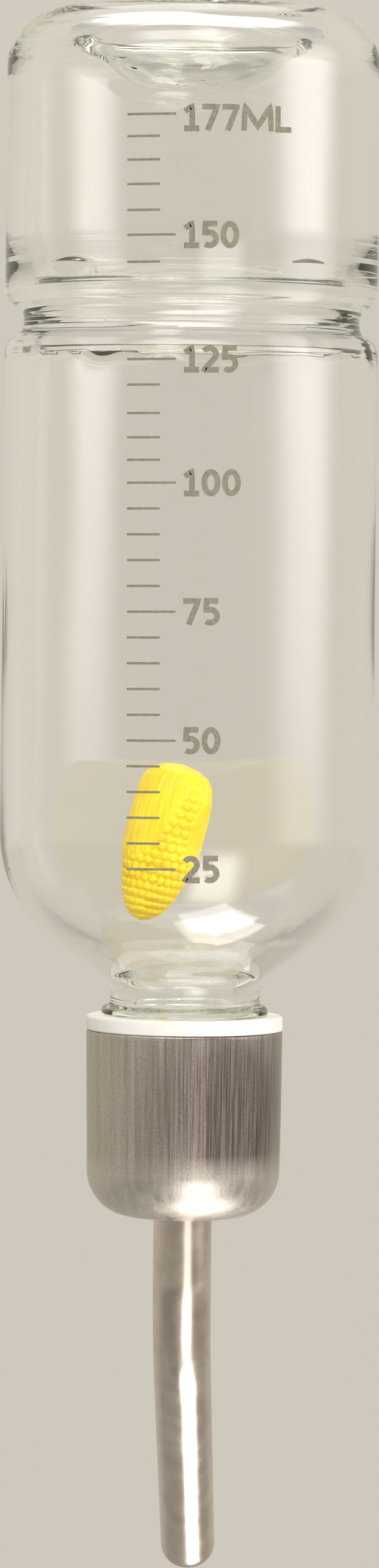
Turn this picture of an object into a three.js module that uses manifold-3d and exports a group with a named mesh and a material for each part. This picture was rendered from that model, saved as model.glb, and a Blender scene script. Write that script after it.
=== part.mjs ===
// A rabbit water bottle that hangs neck down: a thick glass bottle with a groove for a wire hanger, a plastic
// screw cap in a drawn steel cover, a bent steel drinking tube with two valve balls, and a hollow float.
// Millimetres, +Z up. The origin is on the bottle's axis, halfway up the hanger groove.
import * as THREE from "three";
import { mergeVertices } from "three/addons/utils/BufferGeometryUtils.js";
import Module from "manifold-3d";

// ---- Driving dimensions ----

// Glass body. The bottle's own base is on top, because it is used upside down.
const BODY_R = 24.6;
const GLASS_WALL = 2.5;
const BASE_Z = 41.2;
const HEEL_R = 7.5;
const PUSH_UP_R = 16;
const PUSH_UP_DEPTH = 8.2;
const DOME_DEPTH = 8;
const INNER_HEEL_R = 5.5;
const INNER_HEEL_Z = 33;

// Hanger groove, symmetric about z = 0.
const GROOVE_R = 22.1;
const GROOVE_HALF_FLOOR = 1.75;
const GROOVE_EDGE_R = 2.5;
const RIDGE_CREST_Z = 1;
const RIDGE_UP = 11;
const RIDGE_DOWN = 6;
const RIDGE_RISE = 1.6;

// Shoulder and neck.
const SHOULDER_Z = -67.5;
const SHOULDER_ARC_R = 17.7;
const SHOULDER_END_DEG = 55;
const NECK_R = 9.8;
const NECK_FILLET_R = 2.5;
const BORE_R = 6.9;
const BORE_FILLET_R = 5;

// Screw finish: a bead, then a threaded wall down to the lip.
const BEAD_R = 10.93;
const BEAD_LOW_Z = -91.35;
const BEAD_HEIGHT = 1.4;
const FINISH_R = 9.4;
const LIP_Z = -102.5;
const THREAD_PITCH = 3.2;
const THREAD_TURNS = 1.5;
const THREAD_DEPTH = 0.95;
const THREAD_ROOT_WIDTH = 1.5;
const THREAD_CREST_WIDTH = 0.7;
const THREAD_START_Z = -100.6;

// Screw cap and the steel cover pressed over it.
const FLANGE_R = 12.95;
const FLANGE_TOP_Z = -91.45;
const FLANGE_THICKNESS = 1.95;
const SKIRT_R = 12;
const CAP_WALL_R = 10.75;
const GASKET_THICKNESS = 2;
const CAP_FLOOR_THICKNESS = 2.5;
const HUB_R = 8.2;
const HUB_BORE_R = 6.7;
const COVER_BOTTOM_Z = -118;
const COVER_TOP_R = 12.95;
const COVER_LOW_R = 12.72;
const COVER_CORNER_R = 6.1;
const COVER_WALL = 0.6;
const COVER_HOLE_R = 4.15;

// Drinking tube, measured along its centreline from the flared end inside the neck.
const TUBE_R = 3.85;
const TUBE_WALL = 0.6;
const FLARE_R = 5.6;
const FLARE_THICKNESS = 0.7;
const BEND_START_Z = -127;
const BEND_RADIUS = 20;
const BEND_DEG = 41;
const BEND_AZIMUTH_DEG = 2.4;
const TUBE_STRAIGHT_END = 36;
const TIP_R = 3.65;
const TIP_ROUND = 2.6;
const MOUTH_R = 2.45;
const BALL_R = 2.9;
const BALL_GAP = 0.1;
const BALL_TRAVEL = 2.5;
const DIMPLE_DEG = 35;
const DIMPLE_ABOVE_BALL = 2.6;
const RUNNING_GAP = 0.1;

// Float: two glued half shells, leaning against the back of the shoulder.
const FLOAT_LENGTH = 23.2;
const FLOAT_R = 5.3;
const FLOAT_WALL = 0.8;
const FLOAT_CENTRE = [-3.4, 11.7, -69.8];
const FLOAT_LEAN_DEG = 14.6;
const FLOAT_SEAM_GAP = 0.3;

// Its outline as [share of the length from the tip, share of the full radius].
const FLOAT_OUTLINE = [
  [0, 0], [0.04, 0.32], [0.1, 0.52], [0.2, 0.71], [0.3, 0.81], [0.38, 0.9], [0.5, 1],
  [0.7, 0.99], [0.85, 0.94], [0.92, 0.82], [0.97, 0.5], [1, 0],
];

// Facets round a full turn.
const BOTTLE_SIDES = 44;
const CAP_SIDES = 40;
const TUBE_SIDES = 24;
const FLOAT_SIDES = 24;

// ---- Helpers ----

const wasm = await Module();
wasm.setup();

// A closed geometry as a manifold-3d solid.
function solidOf(geometry) {
  const bare = geometry.clone();
  bare.deleteAttribute("normal");
  bare.deleteAttribute("uv");
  const merged = mergeVertices(bare, 1e-4);
  return new wasm.Manifold(
    new wasm.Mesh({
      numProp: 3,
      vertProperties: new Float32Array(merged.attributes.position.array),
      triVerts: new Uint32Array(merged.index.array),
    }),
  );
}

// A manifold-3d solid as a geometry.
function geometryOf(solid) {
  const mesh = solid.getMesh();
  return new THREE.BufferGeometry()
    .setAttribute("position", new THREE.BufferAttribute(mesh.vertProperties, 3))
    .setIndex(new THREE.BufferAttribute(mesh.triVerts, 1));
}

// Points [r, z] on an arc round (r, z), from one angle to another, both ends included.
function arc(r, z, radius, fromDeg, toDeg, steps) {
  const from = THREE.MathUtils.degToRad(fromDeg);
  const to = THREE.MathUtils.degToRad(toDeg);
  return Array.from({ length: steps + 1 }, (_, i) => {
    const angle = from + ((to - from) * i) / steps;
    return [r + radius * Math.cos(angle), z + radius * Math.sin(angle)];
  });
}

// Points [r, z] mirrored in the plane z = 0 and walked backwards.
function mirrored(points) {
  return points.map(([r, z]) => [r, -z]).reverse();
}

// A profile of [r, z] points turned about Z. It runs up the outside and down the inside.
function turned(profile, sides) {
  const points = profile.map(([r, z]) => new THREE.Vector2(r, z));
  return new THREE.LatheGeometry(points, sides).rotateX(Math.PI / 2);
}

// A ring or hollow body: its profile closes on itself.
function turnedRing(profile, sides) {
  return turned([...profile, profile[0]], sides);
}

// A right-hand thread ridge: a long box wound round Z. x is across the depth, y across the width, z along it.
function threadRidge(rootR, crestR, startZ, turns, sides) {
  const sunk = crestR > rootR ? -0.4 : 0.4;
  const ridge = new THREE.BoxGeometry(1, 1, 1, 1, 1, Math.round(turns * sides));
  const p = ridge.attributes.position;
  const inward = crestR < rootR;
  for (let i = 0; i < p.count; i++) {
    const atCrest = inward ? p.getX(i) < 0 : p.getX(i) > 0;
    const along = 0.5 - p.getZ(i);
    const fade = Math.min(1, 12 * Math.min(along, 1 - along) + 0.02);
    const r = atCrest ? rootR + (crestR - rootR) * fade : rootR + sunk;
    const width = atCrest ? THREAD_CREST_WIDTH : THREAD_ROOT_WIDTH;
    const angle = 2 * Math.PI * turns * along;
    const z = startZ + THREAD_PITCH * turns * along + width * p.getY(i);
    p.setXYZ(i, r * Math.cos(angle), r * Math.sin(angle), z);
  }
  return ridge;
}

function named(name, geometry, material) {
  const mesh = new THREE.Mesh(geometry, material);
  mesh.name = name;
  return mesh;
}

// ---- Materials ----

const glass = new THREE.MeshStandardMaterial({
  color: 0xdfe3d8,
  roughness: 0.05,
  metalness: 0,
  transparent: true,
  opacity: 0.35,
});
const brushedSteel = new THREE.MeshStandardMaterial({ color: 0x8f8781, roughness: 0.42, metalness: 1 });
const tubeSteel = new THREE.MeshStandardMaterial({ color: 0xb3a899, roughness: 0.25, metalness: 1 });
const ballSteel = new THREE.MeshStandardMaterial({ color: 0xc9c9cb, roughness: 0.08, metalness: 1 });
const whitePlastic = new THREE.MeshStandardMaterial({ color: 0xf1efec, roughness: 0.45, metalness: 0 });
const rubber = new THREE.MeshStandardMaterial({ color: 0xd9d6cc, roughness: 0.7, metalness: 0 });
const yellowPlastic = new THREE.MeshStandardMaterial({ color: 0xf2c70c, roughness: 0.4, metalness: 0 });

// ---- Glass bottle ----

const innerR = BODY_R - GLASS_WALL;

// How deep the base's domes are at a share t of their radius: 1 on the axis, 0 at the edge, steepest near it.
function domed(t) {
  return (1 - t ** 4) ** 2;
}

// A point of the inner bulge behind the groove: a cosine, t = 1 at its upper end, 0 at the crest, -1 at its lower end.
function ridgePoint(t) {
  const reach = t > 0 ? RIDGE_UP : RIDGE_DOWN;
  return [innerR - (RIDGE_RISE / 2) * (1 + Math.cos(Math.PI * t)), RIDGE_CREST_Z + reach * t];
}

// The upper half of the groove's outline, from its floor up to the body wall.
function grooveHalf() {
  return [[GROOVE_R, GROOVE_HALF_FLOOR - 0.35], ...arc(GROOVE_R, GROOVE_HALF_FLOOR + GROOVE_EDGE_R, GROOVE_EDGE_R, -75, 0, 4)];
}

// The outline from the body wall down to the neck: the round shoulder, a slanted line, and the fillet into a
// vertical wall of radius wallR. The offset is 0 outside and the glass thickness inside.
function neckedIn(offset, wallR, filletR) {
  const round = arc(BODY_R - SHOULDER_ARC_R, SHOULDER_Z, SHOULDER_ARC_R - offset, 0, -SHOULDER_END_DEG, 6);
  const [r, z] = round[round.length - 1];
  const across = THREE.MathUtils.degToRad(SHOULDER_END_DEG);
  const filletIn = filletR * (1 - Math.cos(across));
  const slope = (r - wallR - filletIn) / Math.sin(across);
  const filletZ = z - slope * Math.cos(across) - filletR * Math.sin(across);
  return [...round, ...arc(wallR + filletR, filletZ, filletR, 180 - SHOULDER_END_DEG, 180, 3)];
}

function bottleProfile() {
  const domeR = innerR - INNER_HEEL_R;
  const domeEdgeZ = INNER_HEEL_Z + INNER_HEEL_R;
  const shares = [0, 0.3, 0.5, 0.62, 0.74, 0.86];
  const inside = [
    ...shares.map((t) => [domeR * t, domeEdgeZ - DOME_DEPTH * domed(t)]),
    ...arc(domeR, INNER_HEEL_Z, INNER_HEEL_R, 90, 0, 4),
    ...[1, 0.75, 0.5, 0.25, 0, -0.33, -0.66, -1].map(ridgePoint),
    ...neckedIn(GLASS_WALL, BORE_R, BORE_FILLET_R),
    [BORE_R, LIP_Z + 0.4],
    [BORE_R + 0.4, LIP_Z],
  ];
  const outside = [
    [FINISH_R - 0.5, LIP_Z],
    [FINISH_R, LIP_Z + 0.5],
    [FINISH_R, BEAD_LOW_Z],
    [BEAD_R - 0.2, BEAD_LOW_Z],
    [BEAD_R, BEAD_LOW_Z + 0.15],
    [BEAD_R, BEAD_LOW_Z + 0.45],
    [BEAD_R - 0.25, BEAD_LOW_Z + 0.8],
    [NECK_R, BEAD_LOW_Z + BEAD_HEIGHT],
    ...neckedIn(0, NECK_R, NECK_FILLET_R).reverse(),
    ...mirrored(grooveHalf()),
    ...grooveHalf(),
    ...arc(BODY_R - HEEL_R, BASE_Z - HEEL_R, HEEL_R, 0, 90, 5),
    [PUSH_UP_R, BASE_Z],
    ...shares.map((t) => [PUSH_UP_R * t, BASE_Z - PUSH_UP_DEPTH * domed(t)]).reverse(),
  ];
  return [...inside, ...outside];
}

function glassBottle() {
  const ridge = threadRidge(FINISH_R, FINISH_R + THREAD_DEPTH, THREAD_START_Z, THREAD_TURNS, 24);
  const body = solidOf(turned(bottleProfile(), BOTTLE_SIDES)).add(solidOf(ridge));
  return named("glass_bottle", geometryOf(body), glass);
}

// ---- Screw cap, its gasket and bushing, and the steel cover ----

const flangeLowZ = FLANGE_TOP_Z - FLANGE_THICKNESS;
const capFloorZ = LIP_Z - GASKET_THICKNESS;
const hubTopZ = capFloorZ - CAP_FLOOR_THICKNESS;
const coverFloorZ = COVER_BOTTOM_Z + COVER_WALL;

function screwCap() {
  const profile = [
    [HUB_BORE_R, hubTopZ],
    [HUB_BORE_R, coverFloorZ + 0.2],
    [HUB_R - 1.2, coverFloorZ + 0.2],
    [HUB_R, coverFloorZ + 1.6],
    [HUB_R, hubTopZ - 0.8],
    [SKIRT_R - 1.5, hubTopZ],
    [SKIRT_R, hubTopZ + 1.5],
    [SKIRT_R, flangeLowZ],
    [FLANGE_R, flangeLowZ],
    ...arc(FLANGE_R - 0.35, FLANGE_TOP_Z - 0.35, 0.35, 0, 90, 2),
    [CAP_WALL_R, FLANGE_TOP_Z],
    [CAP_WALL_R, capFloorZ],
    [TUBE_R + 2 * RUNNING_GAP, capFloorZ],
    [TUBE_R + 2 * RUNNING_GAP, hubTopZ],
  ];
  const crestR = FINISH_R + 0.55;
  const ridge = threadRidge(CAP_WALL_R, crestR, THREAD_START_Z + THREAD_PITCH / 2, 1.25, 24);
  const body = solidOf(turnedRing(profile, CAP_SIDES)).add(solidOf(ridge));
  return named("screw_cap", geometryOf(body), whitePlastic);
}

function mouthGasket() {
  const outerR = CAP_WALL_R - 0.25;
  const holeR = TUBE_R + RUNNING_GAP;
  const profile = [
    [holeR, capFloorZ],
    [outerR, capFloorZ],
    [outerR, LIP_Z],
    [holeR, LIP_Z],
  ];
  return named("mouth_gasket", turnedRing(profile, CAP_SIDES), rubber);
}

function tubeBushing() {
  const holeR = TUBE_R + RUNNING_GAP;
  const outerR = HUB_BORE_R - RUNNING_GAP;
  const lowZ = coverFloorZ + 0.2;
  const topZ = hubTopZ - RUNNING_GAP;
  const profile = [
    [holeR, lowZ],
    [outerR - 0.6, lowZ],
    [outerR, lowZ + 0.6],
    [outerR, topZ],
    [holeR, topZ],
  ];
  return named("tube_bushing", turnedRing(profile, TUBE_SIDES + 8), rubber);
}

function steelCover() {
  const centreZ = COVER_BOTTOM_Z + COVER_CORNER_R;
  const centreR = COVER_LOW_R - COVER_CORNER_R;
  const innerCorner = COVER_CORNER_R - COVER_WALL;
  const profile = [
    [COVER_HOLE_R, COVER_BOTTOM_Z],
    ...arc(centreR, centreZ, COVER_CORNER_R, -90, 0, 6),
    [COVER_TOP_R, flangeLowZ],
    [COVER_TOP_R - COVER_WALL, flangeLowZ],
    ...arc(centreR, centreZ, innerCorner, 0, -90, 6),
    [COVER_HOLE_R, COVER_BOTTOM_Z + COVER_WALL],
  ];
  return named("steel_cover", turnedRing(profile, CAP_SIDES), brushedSteel);
}

// ---- Drinking tube and valve balls ----

const tubeTopZ = LIP_Z + FLARE_THICKNESS;
const bendStart = tubeTopZ - BEND_START_Z;
const bendAngle = THREE.MathUtils.degToRad(BEND_DEG);
const bendLength = BEND_RADIUS * bendAngle;
const tubeLength = bendStart + bendLength + TUBE_STRAIGHT_END;

// The outside radius at a distance s. The tube narrows a little and evenly from the bend to the tip.
function tubeR(s) {
  const at = THREE.MathUtils.clamp(s, bendStart, tubeLength - TIP_ROUND);
  return THREE.MathUtils.mapLinear(at, bendStart, tubeLength - TIP_ROUND, TUBE_R, TIP_R);
}

// The centreline's point, angle off the vertical at a distance s from the tube's top. It bends towards +Y.
function centreline(s) {
  const turn = THREE.MathUtils.clamp((s - bendStart) / BEND_RADIUS, 0, bendAngle);
  const past = Math.max(0, s - bendStart - bendLength);
  const y = BEND_RADIUS * (1 - Math.cos(turn)) + past * Math.sin(turn);
  const drop = Math.min(s, bendStart) + BEND_RADIUS * Math.sin(turn) + past * Math.cos(turn);
  return { point: new THREE.Vector3(0, y, tubeTopZ - drop), turn };
}

// A geometry made straight down from z = 0, laid along the centreline.
function alongTube(geometry) {
  const p = geometry.attributes.position;
  const v = new THREE.Vector3();
  const axisX = new THREE.Vector3(1, 0, 0);
  for (let i = 0; i < p.count; i++) {
    v.fromBufferAttribute(p, i);
    const { point, turn } = centreline(-v.z);
    v.setZ(0).applyAxisAngle(axisX, turn).add(point);
    p.setXYZ(i, v.x, v.y, v.z);
  }
  return geometry;
}

// The distances along the tube at which its wall needs a ring of points: closer together in the bend.
function tubeRings() {
  const inBend = Array.from({ length: 9 }, (_, i) => bendStart + (bendLength * i) / 8);
  return [bendStart / 2, ...inBend, tubeLength - TIP_ROUND - 8];
}

// The rolled-in tip's outline, from the straight wall round to the mouth's edge.
function tipRound(offset) {
  const centreR = TIP_R - TIP_ROUND;
  const radius = TIP_ROUND - offset;
  const end = THREE.MathUtils.radToDeg(Math.acos((MOUTH_R - centreR) / radius));
  return arc(centreR, -(tubeLength - TIP_ROUND), radius, 0, -end, 5);
}

function drinkingTube() {
  const rings = tubeRings();
  const outside = [
    ...tipRound(0).reverse(),
    ...rings.map((s) => [tubeR(s), -s]).reverse(),
    [TUBE_R, -FLARE_THICKNESS],
    [FLARE_R, -FLARE_THICKNESS],
    [FLARE_R, 0],
  ];
  const inside = [[TUBE_R - TUBE_WALL, 0], ...rings.map((s) => [tubeR(s) - TUBE_WALL, -s]), ...tipRound(TUBE_WALL)];
  const tube = alongTube(turnedRing([...outside, ...inside], TUBE_SIDES));
  const dented = ballStopDimples().reduce(
    (body, { bump, dent }) => body.add(solidOf(bump)).subtract(solidOf(dent)),
    solidOf(tube),
  );
  return named("drinking_tube", geometryOf(dented), tubeSteel);
}

// Distance along the tube to each ball's centre: the lower one sits in the mouth, the upper one on it.
const mouthEdgeAt = -tipRound(TUBE_WALL)[5][1];
const lowerBallAt = mouthEdgeAt - Math.sqrt((BALL_R + BALL_GAP) ** 2 - MOUTH_R ** 2);
const upperBallAt = lowerBallAt - 2 * BALL_R - BALL_GAP / 2;

// Two punched dents on the far side, just above the upper ball's highest place. They keep the balls in the tip.
function ballStopDimples() {
  const at = upperBallAt - BALL_TRAVEL - DIMPLE_ABOVE_BALL;
  return [-DIMPLE_DEG, DIMPLE_DEG].map((deg) => {
    const angle = THREE.MathUtils.degToRad(90 + deg);
    const place = (radius, r) =>
      alongTube(
        new THREE.SphereGeometry(radius, 12, 8).translate(r * Math.cos(angle), r * Math.sin(angle), -at),
      );
    return { bump: place(1, tubeR(at) - TUBE_WALL - 0.05), dent: place(1.15, tubeR(at) + 0.6) };
  });
}

function valveBall(name, at) {
  const ball = named(name, new THREE.SphereGeometry(BALL_R, 16, 10), ballSteel);
  ball.position.copy(centreline(at).point);
  return ball;
}

// ---- Float ----

// The float's outline from the tip up, shrunk by an offset for its hollow.
function floatProfile(offset) {
  const half = FLOAT_LENGTH / 2;
  const squeeze = 1 - offset / half;
  return FLOAT_OUTLINE.map(([t, width]) => [
    width === 0 ? 0 : Math.max(0.3, FLOAT_R * width - offset),
    FLOAT_LENGTH * (t - 0.5) * squeeze,
  ]);
}

// Half of the hollow shell, on the +Y (side 1) or -Y (side -1) side of the seam.
function floatHalf(name, side) {
  const shell = solidOf(turned(floatProfile(0), FLOAT_SIDES)).subtract(
    solidOf(turned(floatProfile(FLOAT_WALL), FLOAT_SIDES)),
  );
  const depth = 2 * FLOAT_R;
  const cutter = new THREE.BoxGeometry(3 * FLOAT_R, depth, 2 * FLOAT_LENGTH).translate(
    0,
    side * (depth / 2 + FLOAT_SEAM_GAP / 2),
    0,
  );
  return named(name, geometryOf(shell.intersect(solidOf(cutter))), yellowPlastic);
}

// ---- Assembly ----

const bottle = new THREE.Group();
bottle.add(glassBottle(), mouthGasket(), screwCap(), tubeBushing(), steelCover());

const tubeGroup = new THREE.Group();
tubeGroup.rotation.z = -THREE.MathUtils.degToRad(BEND_AZIMUTH_DEG);
tubeGroup.add(
  drinkingTube(),
  valveBall("valve_ball_lower", lowerBallAt),
  valveBall("valve_ball_upper", upperBallAt),
);
bottle.add(tubeGroup);

const floatGroup = new THREE.Group();
floatGroup.position.set(...FLOAT_CENTRE);
floatGroup.rotation.y = THREE.MathUtils.degToRad(FLOAT_LEAN_DEG);
floatGroup.add(floatHalf("float_front_half", -1), floatHalf("float_back_half", 1));
bottle.add(floatGroup);

export default bottle;
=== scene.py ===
# %% [markdown]
# # A hanging glass water bottle for a rabbit
#
# The bottle is used neck down. A thick glass body carries a printed scale, a yellow float shaped like a corn cob
# lies inside it, and a screw cap in a drawn steel cover holds a bent steel drinking tube.
#
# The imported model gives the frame: every moving body, and the place and size of each part. Nearly everything here
# is round, so nearly everything here is one idea: a profile, turned about an axis or carried along a path, as one
# numpy array of points. What makes it look real is what is added to that array before it becomes a mesh.

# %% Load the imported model
import math

import bmesh
import bpy
import numpy as np
from mathutils import Matrix, Vector


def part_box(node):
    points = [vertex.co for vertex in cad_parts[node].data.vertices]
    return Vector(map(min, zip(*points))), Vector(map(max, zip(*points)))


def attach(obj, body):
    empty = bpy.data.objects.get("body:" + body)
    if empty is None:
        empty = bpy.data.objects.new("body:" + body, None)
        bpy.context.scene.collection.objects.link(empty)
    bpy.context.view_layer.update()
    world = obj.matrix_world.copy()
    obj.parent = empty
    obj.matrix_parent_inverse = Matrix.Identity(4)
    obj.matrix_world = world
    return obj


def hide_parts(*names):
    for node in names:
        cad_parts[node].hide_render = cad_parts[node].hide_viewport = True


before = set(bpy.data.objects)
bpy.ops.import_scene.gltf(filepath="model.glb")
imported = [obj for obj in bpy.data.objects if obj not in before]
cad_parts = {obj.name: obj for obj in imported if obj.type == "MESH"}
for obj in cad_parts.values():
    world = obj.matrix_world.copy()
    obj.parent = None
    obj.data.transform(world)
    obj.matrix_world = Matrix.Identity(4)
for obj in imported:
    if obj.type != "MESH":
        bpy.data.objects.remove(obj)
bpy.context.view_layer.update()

# %% [markdown]
# ## Camera
#
# The camera comes first, because the lights are placed by what it sees mirrored in the glass and the steel. It looks
# along +Y from a little over eight hundred millimetres, level, and from just below the middle of the body, so the
# base is seen a trace from below and the cap a trace from above. The lens is shifted down by the little that brings
# the tube into the frame, and the hand that held it was half a degree off level.

# %% Camera
MM = 0.001
EYE = (0.05 * MM, -836 * MM, -31 * MM)
LENS_MM, SENSOR_MM = 145.3, 36
LOOK_DOWN = 0.1447
ROLL_DEG = 0.57

camera_data = bpy.data.cameras.new("camera")
camera_data.lens = LENS_MM
camera_data.sensor_width = SENSOR_MM
camera_data.shift_y = -LOOK_DOWN
camera = bpy.data.objects.new("camera", camera_data)
tilt = Matrix.Rotation(math.radians(90), 4, "X")
roll = Matrix.Rotation(math.radians(ROLL_DEG), 4, "Z")
camera.matrix_world = Matrix.Translation(EYE) @ tilt @ roll
bpy.context.scene.collection.objects.link(camera)
bpy.context.scene.camera = camera
print("camera", round(-EYE[1] / MM), "mm from the bottle's axis")

# %% [markdown]
# ## From a grid of points to a mesh
#
# A surface of two parameters is a grid: one row of points for each place along the profile, one column for each angle
# round it. Its faces are the grid's cells, so they can be counted out for the whole surface at once. Where a profile
# starts on the axis, a whole row of points falls on one spot; merging doubles turns that row into a proper pole.

# %% Grid helpers
def grid_faces(rows, columns, wrap_rows=False, wrap_columns=True):
    """The four corners of each grid cell: (i, j), (i, j+1), (i+1, j+1), (i+1, j). A wrapped side joins up."""
    i = np.arange(rows if wrap_rows else rows - 1)[:, None]
    j = np.arange(columns if wrap_columns else columns - 1)[None, :]
    down, along = (i + 1) % rows, (j + 1) % columns
    cells = [i * columns + j, i * columns + along, down * columns + along, down * columns + j]
    return np.stack(np.broadcast_arrays(*cells), axis=-1).reshape(-1, 4)


def piece_of(name, grids, material, body, replaces=(), smooth_deg=40):
    """One object from grids of points in millimetres, each with its faces. Poles are merged and normals kept, and
    it rides a body, takes a material slot and may stand for CAD nodes."""
    points, faces, start = [], [], 0
    for grid, cells in grids:
        points.append(grid.reshape(-1, 3) * MM)
        faces.append(cells + start)
        start += len(points[-1])
    mesh = bpy.data.meshes.new(name)
    mesh.from_pydata(np.concatenate(points).tolist(), [], np.concatenate(faces).tolist())
    work = bmesh.new()
    work.from_mesh(mesh)
    bmesh.ops.remove_doubles(work, verts=work.verts, dist=1e-7)
    bmesh.ops.dissolve_degenerate(work, dist=1e-8, edges=work.edges)
    work.to_mesh(mesh)
    work.free()
    mesh.shade_smooth()
    mesh.set_sharp_from_angle(angle=math.radians(smooth_deg))
    mesh.materials.append(material)
    piece = bpy.data.objects.new(name, mesh)
    bpy.context.scene.collection.objects.link(piece)
    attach(piece, body)
    if replaces:
        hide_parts(*replaces)
    print(f"{name}: {len(mesh.polygons)} faces")

# %% [markdown]
# ## Profiles
#
# A profile is a list of (radius, height) points. Round stretches are arcs, and straight ones need only their ends,
# because `refined` adds points wherever two are further apart than a spacing. It runs up the outside and down the
# inside, so that a cell's corners go round it the way that makes its normal point out of the material.

# %% Profile helpers
def arc(radius_at, height_at, radius, start_deg, end_deg, steps=16):
    """Points at centre + radius (cos a, sin a), for angles a from start to end."""
    a = np.radians(np.linspace(start_deg, end_deg, steps + 1))
    return np.stack([radius_at + radius * np.cos(a), height_at + radius * np.sin(a)], axis=1)


def refined(points, spacing, closest=0.03):
    """The same line with extra points, so that neighbours are at most a spacing apart along it, and thinned where
    they crowd closer than the closest. Both ends are kept."""
    steps = np.hypot(*np.diff(points, axis=0).T)
    points = points[np.concatenate([[True], steps > 1e-6])]
    at = np.concatenate([[0], np.cumsum(np.hypot(*np.diff(points, axis=0).T))])
    wanted = np.union1d(at, np.arange(0, at[-1], spacing))
    keep = np.unique(np.floor(wanted / closest), return_index=True)[1]
    keep[-1] = len(wanted) - 1
    wanted = wanted[keep]
    return np.stack([np.interp(wanted, at, points[:, k]) for k in (0, 1)], axis=1)


def outward(profile):
    """Each profile point's unit normal: the line's direction (dr, dz) turned to (dz, -dr)."""
    step = np.gradient(profile, axis=0)
    turned_step = np.stack([step[:, 1], -step[:, 0]], axis=1)
    return turned_step / np.maximum(np.hypot(*turned_step.T), 1e-9)[:, None]


def turned(profile, sides, swell=None):
    """Grid of points r (cos a, sin a), z for each profile point and angle. swell(a, r, z) is how far each one moves
    along its normal."""
    a = np.linspace(0, 2 * np.pi, sides, endpoint=False)[None, :]
    r, z = profile[:, :1] + 0 * a, profile[:, 1:] + 0 * a
    if swell is not None:
        lift, normal = swell(a, r, z), outward(profile)
        r, z = r + lift * normal[:, :1], z + lift * normal[:, 1:]
    return np.stack([r * np.cos(a), r * np.sin(a), z], axis=2)

# %% [markdown]
# ## Materials, one shader each
#
# Every finish is one Principled shader, and only the glass has a second one beside it. Plain numbers are set on its
# own sockets, and only what changes over the surface comes from nodes. The patterns read Object coordinates, which
# are metres here, so a grain of a tenth of a millimetre is a noise at scale 10,000, and a different stretch on Z
# draws that grain out into streaks.

# %% Material helpers
def finish_named(name, **sockets):
    """A material with one Principled shader, and values for its sockets by name (spaces as underscores)."""
    material = bpy.data.materials.new(name)
    material.use_nodes = True
    shader = material.node_tree.nodes["Principled BSDF"]
    for socket, value in sockets.items():
        shader.inputs[socket.replace("_", " ").title().replace("Ior", "IOR")].default_value = value
    return material


def add_node(material, kind, inputs=None, **settings):
    """A new node with settings, and inputs given as values or as sockets to link from."""
    tree = material.node_tree
    node = tree.nodes.new(kind)
    for key, value in settings.items():
        setattr(node, key, value)
    for key, value in (inputs or {}).items():
        if isinstance(value, bpy.types.NodeSocket):
            tree.links.new(value, node.inputs[key])
        else:
            node.inputs[key].default_value = value
    return node


def grain(material, scale, detail=2.0, roughness=0.5, distortion=0.0):
    """Noise over the object's own coordinates, at a scale per metre along X, Y and Z."""
    place = add_node(material, "ShaderNodeTexCoord").outputs["Object"]
    stretched = add_node(material, "ShaderNodeMapping", {"Vector": place, "Scale": scale}).outputs["Vector"]
    settings = {"Vector": stretched, "Scale": 1.0, "Detail": detail, "Roughness": roughness, "Distortion": distortion}
    return add_node(material, "ShaderNodeTexNoise", settings).outputs["Fac"]


def steps_of(material, source, *stops):
    """A colour for each level of the source, from (level, (r, g, b)) stops."""
    node = add_node(material, "ShaderNodeValToRGB", {"Fac": source})
    ramp = node.color_ramp
    while len(ramp.elements) < len(stops):
        ramp.elements.new(0.5)
    for element, (level, colour) in zip(ramp.elements, stops):
        element.position = level
        element.color = (*colour, 1)
    return node.outputs["Color"]


def ranged(material, source, low, high, to_low, to_high):
    """The source's low to high stretched to another range, and clamped to it."""
    values = {"Value": source, "From Min": low, "From Max": high, "To Min": to_low, "To Max": to_high}
    return add_node(material, "ShaderNodeMapRange", values).outputs["Result"]


def mixed(material, amount, first, second, blend="MIX"):
    """Two colours mixed, by an amount or a socket."""
    node = add_node(material, "ShaderNodeMix", data_type="RGBA", blend_type=blend)
    for index, value in ((0, amount), (6, first), (7, second)):
        if isinstance(value, bpy.types.NodeSocket):
            material.node_tree.links.new(value, node.inputs[index])
        else:
            node.inputs[index].default_value = value if index == 0 else (*value, 1)
    return node.outputs[2]


def to_shader(material, socket, source):
    """Links a node's output to the Principled shader's socket."""
    shader = material.node_tree.nodes["Principled BSDF"]
    material.node_tree.links.new(source, shader.inputs[socket])


def bumped(material, height, depth, after=None):
    """The height as relief of that depth in metres, on the shader's normal."""
    values = {"Height": height, "Distance": depth, "Strength": 1.0}
    if after is not None:
        values["Normal"] = after
    normal = add_node(material, "ShaderNodeBump", values).outputs["Normal"]
    to_shader(material, "Normal", normal)
    return normal

# %% [markdown]
# ## The glass body
#
# Glass is judged by what it bends, so this wall has a real inside and a real outside, 2.5 mm apart. The outside was
# shaped by a steel mould: straight, with a rounded heel, a groove for the wire hanger, a round shoulder and a short
# neck. The inside was only blown: it follows the outside softly, bulges in behind the groove, and is never quite
# even. That unevenness is what makes thick glass look like glass, so it is worked out as a small swell along the
# normal, a sum of slow waves, different for the two surfaces.
#
# The shoulder and the heel are arcs. The base is pushed up into the bottle, with a nearly flat middle and steep
# sides, which is the square of one minus the fourth power of the distance from the axis. The screw thread is
# also a swell: a ridge wherever a point's height is close to the helix.

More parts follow.
